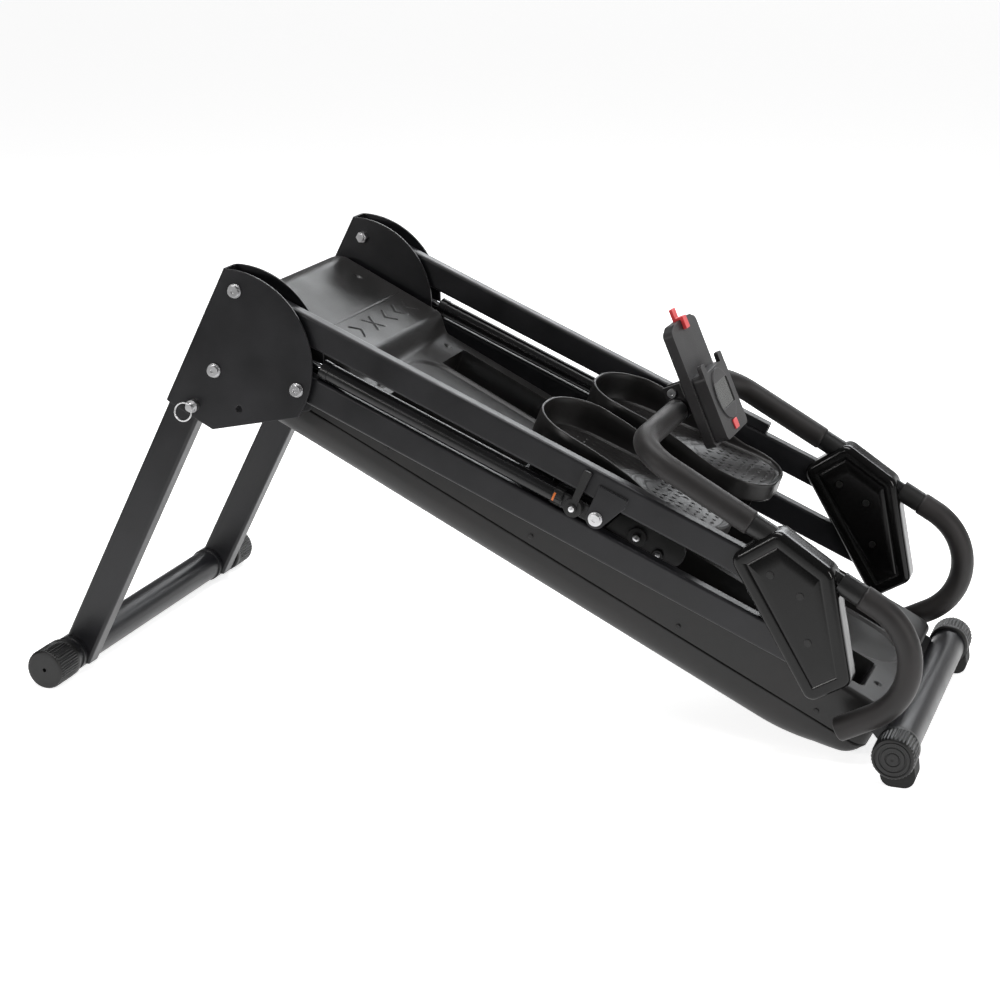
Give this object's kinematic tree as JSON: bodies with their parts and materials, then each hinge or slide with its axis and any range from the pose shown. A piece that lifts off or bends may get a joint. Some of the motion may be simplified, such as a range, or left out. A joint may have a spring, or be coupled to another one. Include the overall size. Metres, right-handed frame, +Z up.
{
  "type": "folding incline glider cross trainer",
  "caption": "Folding glider trainer: an inclined tray with two sliding pedals, lifting parallelogram arms with a handlebar and a console, and a folding rear stand.",
  "frame": {"origin": "middle of the bounding box on the floor", "axes": "+X along the machine towards its low front end, +Y to the right hand of a user facing the hinge plates, +Z up"},
  "size_m": [1.3069, 0.614, 0.636],
  "materials": {
    "moulded_black": "satin moulded plastic with a fine grain",
    "powder_black": "satin black powder coat on steel tube and plate",
    "zinc_steel": "zinc plated steel",
    "chrome_rod": "hard chrome, polished",
    "foot_rubber": "matte black rubber",
    "gloss_black": "glossy black plastic",
    "foam_black": "closed-cell foam with a soft sheen",
    "bush_nylon": "dark filled nylon",
    "display_grey": "grey display window",
    "signal_red": "red plastic"
  },
  "bodies": {
    "root": {"tray_shell": "moulded_black", "deck_cover": "moulded_black", "chassis": "powder_black", "guide_rods": "chrome_rod", "drive_belt": "foot_rubber", "pulley_bolts": "zinc_steel", "left_hinge_plate": "powder_black", "right_hinge_plate": "powder_black", "plate_bolts": "zinc_steel", "front_floor_tube": "powder_black", "front_caps": "moulded_black", "front_feet": "foot_rubber", "cover_screws": "zinc_steel"},
    "rear_legs": {"left_leg": "powder_black", "right_leg": "powder_black", "rear_floor_tube": "powder_black", "rear_caps": "moulded_black"},
    "lock_pin": {"lock_pin": "zinc_steel", "lock_pin_ring": "zinc_steel"},
    "upper_arms": {"left_upper_rail": "powder_black", "right_upper_rail": "powder_black", "upper_rail_bushes": "bush_nylon", "storage_catch": "powder_black", "damper_bolts": "zinc_steel"},
    "lower_arms": {"left_lower_rail": "powder_black", "right_lower_rail": "powder_black", "lower_rail_bushes": "bush_nylon"},
    "head": {"left_head_outer": "gloss_black", "left_head_inner": "gloss_black", "right_head_outer": "gloss_black", "right_head_inner": "gloss_black", "head_screws": "gloss_black", "head_pins": "zinc_steel", "handlebar_tube": "zinc_steel", "left_grip": "foam_black", "right_grip": "foam_black", "left_end_grip": "foam_black", "right_end_grip": "foam_black", "bar_collars": "gloss_black"},
    "left_barrel": {"left_barrel": "powder_black"},
    "right_barrel": {"right_barrel": "powder_black"},
    "left_rod": {"left_rod": "chrome_rod"},
    "right_rod": {"right_rod": "chrome_rod"},
    "left_dial": {"left_dial": "moulded_black"},
    "right_dial": {"right_dial": "moulded_black"},
    "left_valve_lever": {"left_valve_lever": "moulded_black"},
    "right_valve_lever": {"right_valve_lever": "moulded_black"},
    "console": {"console_clamp": "moulded_black", "clamp_screw": "zinc_steel", "console_back": "moulded_black", "console_front": "moulded_black", "console_screen": "display_grey"},
    "console_button": {"console_button": "signal_red"},
    "phone_clip": {"phone_clip": "signal_red"},
    "left_carriage": {"left_carriage": "moulded_black"},
    "right_carriage": {"right_carriage": "moulded_black"},
    "left_pedal": {"left_pedal": "moulded_black"},
    "right_pedal": {"right_pedal": "moulded_black"},
    "upper_pulley": {"upper_pulley": "bush_nylon"},
    "lower_pulley": {"lower_pulley": "bush_nylon"}
  },
  "joints": [
    {"name": "leg_fold", "type": "hinge", "parent": "root", "child": "rear_legs", "pos_m": [-0.3565, 0, 0.49], "axis": [0, -1, 0], "range_deg": [0, 67.8]},
    {"name": "lock_pin_pull", "type": "slide", "parent": "root", "child": "lock_pin", "axis": [0, -1, 0], "range_m": [0, 0.012], "stiffness_N_per_m": 600},
    {"name": "arm_lift", "type": "hinge", "parent": "root", "child": "upper_arms", "pos_m": [-0.3185, 0, 0.606], "axis": [0, -1, 0], "range_deg": [0, 60]},
    {"name": "lower_arm_lift", "type": "hinge", "parent": "root", "child": "lower_arms", "pos_m": [-0.2295, 0, 0.4725], "axis": [0, -1, 0], "range_deg": [0, 60]},
    {"name": "head_level", "type": "hinge", "parent": "upper_arms", "child": "head", "pos_m": [0.43519, 0, 0.28297], "axis": [0, -1, 0], "range_deg": [-60, 0]},
    {"name": "left_damper_swing", "type": "hinge", "parent": "upper_arms", "child": "left_barrel", "pos_m": [0.205, -0.215, 0.329], "axis": [0, -1, 0], "range_deg": [0, 6.86]},
    {"name": "left_rod_travel", "type": "slide", "parent": "left_barrel", "child": "left_rod", "axis": [-0.9199, 0, 0.3922], "range_m": [0, 0.08502]},
    {"name": "left_dial_turn", "type": "hinge", "parent": "left_barrel", "child": "left_dial", "pos_m": [0.14889, -0.215, 0.35293], "axis": [-0.9199, 0, 0.3922], "range_deg": [0, 300]},
    {"name": "left_lever_turn", "type": "hinge", "parent": "left_barrel", "child": "left_valve_lever", "pos_m": [0.17372, -0.215, 0.34234], "axis": [0, -1, 0], "range_deg": [-20, 40]},
    {"name": "right_damper_swing", "type": "hinge", "parent": "upper_arms", "child": "right_barrel", "pos_m": [0.205, 0.215, 0.329], "axis": [0, -1, 0], "range_deg": [0, 6.86]},
    {"name": "right_rod_travel", "type": "slide", "parent": "right_barrel", "child": "right_rod", "axis": [-0.9199, 0, 0.3922], "range_m": [0, 0.08502]},
    {"name": "right_dial_turn", "type": "hinge", "parent": "right_barrel", "child": "right_dial", "pos_m": [0.14889, 0.215, 0.35293], "axis": [-0.9199, 0, 0.3922], "range_deg": [0, 300]},
    {"name": "right_lever_turn", "type": "hinge", "parent": "right_barrel", "child": "right_valve_lever", "pos_m": [0.17372, 0.215, 0.34234], "axis": [0, -1, 0], "range_deg": [-20, 40]},
    {"name": "console_tilt", "type": "hinge", "parent": "head", "child": "console", "pos_m": [0.2565, 0, 0.431], "axis": [0, -1, 0], "range_deg": [-20, 20]},
    {"name": "button_press", "type": "slide", "parent": "console", "child": "console_button", "axis": [-0.9205, 0, -0.3907], "range_m": [0, 0.0015], "stiffness_N_per_m": 500},
    {"name": "clip_pull", "type": "slide", "parent": "console", "child": "phone_clip", "axis": [-0.3907, 0, 0.9205], "range_m": [0, 0.02], "stiffness_N_per_m": 60},
    {"name": "left_pedal_slide", "type": "slide", "parent": "root", "child": "left_carriage", "axis": [0.8949, 0, -0.4462], "range_m": [-0.16, 0.16]},
    {"name": "right_pedal_slide", "type": "slide", "parent": "root", "child": "right_carriage", "axis": [0.8949, 0, -0.4462], "range_m": [-0.16, 0.16]},
    {"name": "left_pedal_tilt", "type": "hinge", "parent": "left_carriage", "child": "left_pedal", "pos_m": [0.10325, -0.096, 0.38053], "axis": [0, -1, 0], "range_deg": [0, 7]},
    {"name": "right_pedal_tilt", "type": "hinge", "parent": "right_carriage", "child": "right_pedal", "pos_m": [0.1199, 0.096, 0.37223], "axis": [0, -1, 0], "range_deg": [-3.5, 3.5]},
    {"name": "upper_pulley_turn", "type": "hinge", "parent": "root", "child": "upper_pulley", "pos_m": [-0.04928, 0, 0.32584], "axis": [0.4462, 0, 0.8949], "range_deg": [-230, 230]},
    {"name": "lower_pulley_turn", "type": "hinge", "parent": "root", "child": "lower_pulley", "pos_m": [0.46083, 0, 0.07151], "axis": [0.4462, 0, 0.8949], "range_deg": [-230, 230]}
  ],
  "couplings": [
    {"joint": "lower_arm_lift", "follows": "arm_lift", "ratio": 1},
    {"joint": "head_level", "follows": "arm_lift", "ratio": -1},
    {"joint": "left_damper_swing", "follows": "arm_lift", "ratio": 0.1135},
    {"joint": "left_rod_travel", "follows": "arm_lift", "m_per_rad": 0.081},
    {"joint": "right_damper_swing", "follows": "arm_lift", "ratio": 0.1135},
    {"joint": "right_rod_travel", "follows": "arm_lift", "m_per_rad": 0.081},
    {"joint": "right_pedal_slide", "follows": "left_pedal_slide", "ratio": -1},
    {"joint": "upper_pulley_turn", "follows": "left_pedal_slide", "rad_per_m": 25},
    {"joint": "lower_pulley_turn", "follows": "left_pedal_slide", "rad_per_m": 25}
  ]
}
